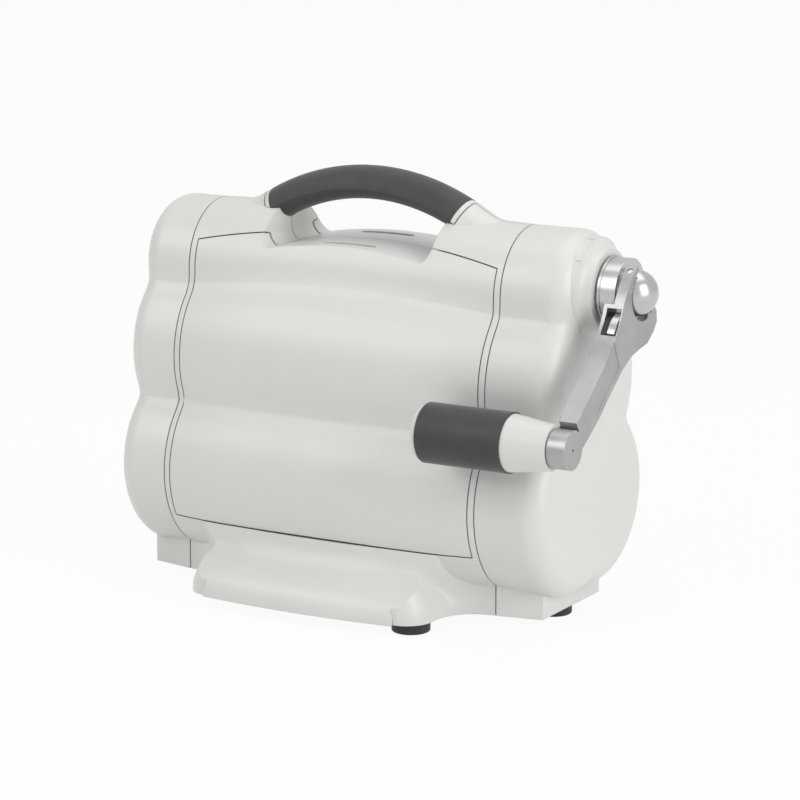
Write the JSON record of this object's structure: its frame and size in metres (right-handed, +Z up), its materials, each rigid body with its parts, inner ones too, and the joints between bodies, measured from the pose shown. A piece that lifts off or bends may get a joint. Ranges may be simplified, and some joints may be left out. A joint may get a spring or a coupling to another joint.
{
  "type": "die cutting machine",
  "caption": "Portable hand-cranked die cutting machine with lobed casing, carrying handle, fold-down platform doors, geared pressure rollers and a folding crank.",
  "frame": {"origin": "middle of the outline at the table, under the feet", "axes": "+X towards the crank, -Y the front door, +Z up"},
  "size_m": [0.3626, 0.22, 0.285],
  "materials": {
    "shell_white": "satin moulded plastic, very fine grain",
    "inner_white": "matt moulded plastic",
    "soft_grip": "soft-touch rubber, matt",
    "crank_alloy": "die cast, finely blasted, machined edges",
    "bright_steel": "polished and plated",
    "frame_steel": "cold rolled, zinc plated",
    "gear_steel": "cut teeth, lightly greased",
    "bush_bronze": "sintered bronze",
    "black_rubber": "moulded rubber"
  },
  "bodies": {
    "chassis": {"base_pan": "inner_white", "front_housing": "shell_white", "rear_housing": "shell_white", "left_end_cap": "shell_white", "right_end_cap": "shell_white", "front_hinge_pins": "frame_steel", "rear_hinge_pins": "frame_steel", "handle_core": "shell_white", "handle_grip": "soft_grip", "left_side_frame": "frame_steel", "right_side_frame": "frame_steel", "tie_bars": "frame_steel", "upper_cover": "inner_white", "lower_cover": "inner_white", "roller_bushes": "bush_bronze", "inner_gear_plate": "frame_steel", "outer_gear_plate": "frame_steel", "gear_plate_spacers": "frame_steel", "crank_bushes": "bush_bronze", "idler_axle": "frame_steel", "crank_seal": "black_rubber", "rubber_feet": "black_rubber", "base_screws": "frame_steel", "frame_screws": "frame_steel"},
    "front_door_assembly": {"front_door": "shell_white", "front_platform": "inner_white"},
    "rear_door_assembly": {"rear_door": "shell_white", "rear_platform": "inner_white"},
    "upper_roller_assembly": {"upper_roller": "frame_steel", "upper_roller_gear": "gear_steel"},
    "lower_roller_assembly": {"lower_roller": "frame_steel", "lower_roller_gear": "gear_steel"},
    "idler": {"idler_gear": "gear_steel"},
    "crank_drive": {"crank_shaft": "frame_steel", "crank_pinion": "gear_steel", "crank_collar": "frame_steel", "crank_hub": "bright_steel", "arm_pivot_pin": "bright_steel"},
    "crank_lever": {"crank_arm": "crank_alloy", "latch_spring": "frame_steel", "latch_pad": "black_rubber", "grip_spindle": "frame_steel"},
    "latch": {"latch_button": "bright_steel"},
    "crank_grip": {"grip_core": "shell_white", "grip_sleeve": "soft_grip"}
  },
  "joints": [
    {"name": "crank_turn", "type": "hinge", "parent": "chassis", "child": "crank_drive", "pos_m": [0.1257, 0.00501, 0.218], "axis": [-1, 0, 0], "range_deg": [0, 261]},
    {"name": "crank_fold", "type": "hinge", "parent": "crank_drive", "child": "crank_lever", "pos_m": [0.1692, 0.00501, 0.218], "axis": [0, -0.6494, 0.7604], "range_deg": [0, 180]},
    {"name": "grip_spin", "type": "hinge", "parent": "crank_lever", "child": "crank_grip", "pos_m": [0.1157, -0.09081, 0.13617], "axis": [1, 0, 0], "continuous": true},
    {"name": "latch_press", "type": "slide", "parent": "crank_lever", "child": "latch", "axis": [0, 0.6494, -0.7604], "range_m": [0, 0.0025], "stiffness_N_per_m": 400, "springref_m": -0.002, "deforming": ["latch_spring"]},
    {"name": "idler_turn", "type": "hinge", "parent": "chassis", "child": "idler", "pos_m": [0.1037, 0.00501, 0.188], "axis": [-1, 0, 0], "range_deg": [-266, 5]},
    {"name": "upper_roller_turn", "type": "hinge", "parent": "chassis", "child": "upper_roller_assembly", "pos_m": [-0.0243, 0.00501, 0.144], "axis": [-1, 0, 0], "range_deg": [-5, 140]},
    {"name": "lower_roller_turn", "type": "hinge", "parent": "chassis", "child": "lower_roller_assembly", "pos_m": [-0.0243, 0.00501, 0.086], "axis": [-1, 0, 0], "range_deg": [-140, 5]},
    {"name": "front_door_hinge", "type": "hinge", "parent": "chassis", "child": "front_door_assembly", "pos_m": [-0.0243, -0.06399, 0.066], "axis": [1, 0, 0], "range_deg": [0, 90]},
    {"name": "rear_door_hinge", "type": "hinge", "parent": "chassis", "child": "rear_door_assembly", "pos_m": [-0.0243, 0.07401, 0.066], "axis": [-1, 0, 0], "range_deg": [0, 90]}
  ],
  "couplings": [
    {"joint": "idler_turn", "follows": "crank_turn", "ratio": -1},
    {"joint": "upper_roller_turn", "follows": "crank_turn", "ratio": 0.51724},
    {"joint": "lower_roller_turn", "follows": "crank_turn", "ratio": -0.51724},
    {"joint": "front_door_hinge", "follows": "crank_fold", "ratio": 0.5}
  ]
}
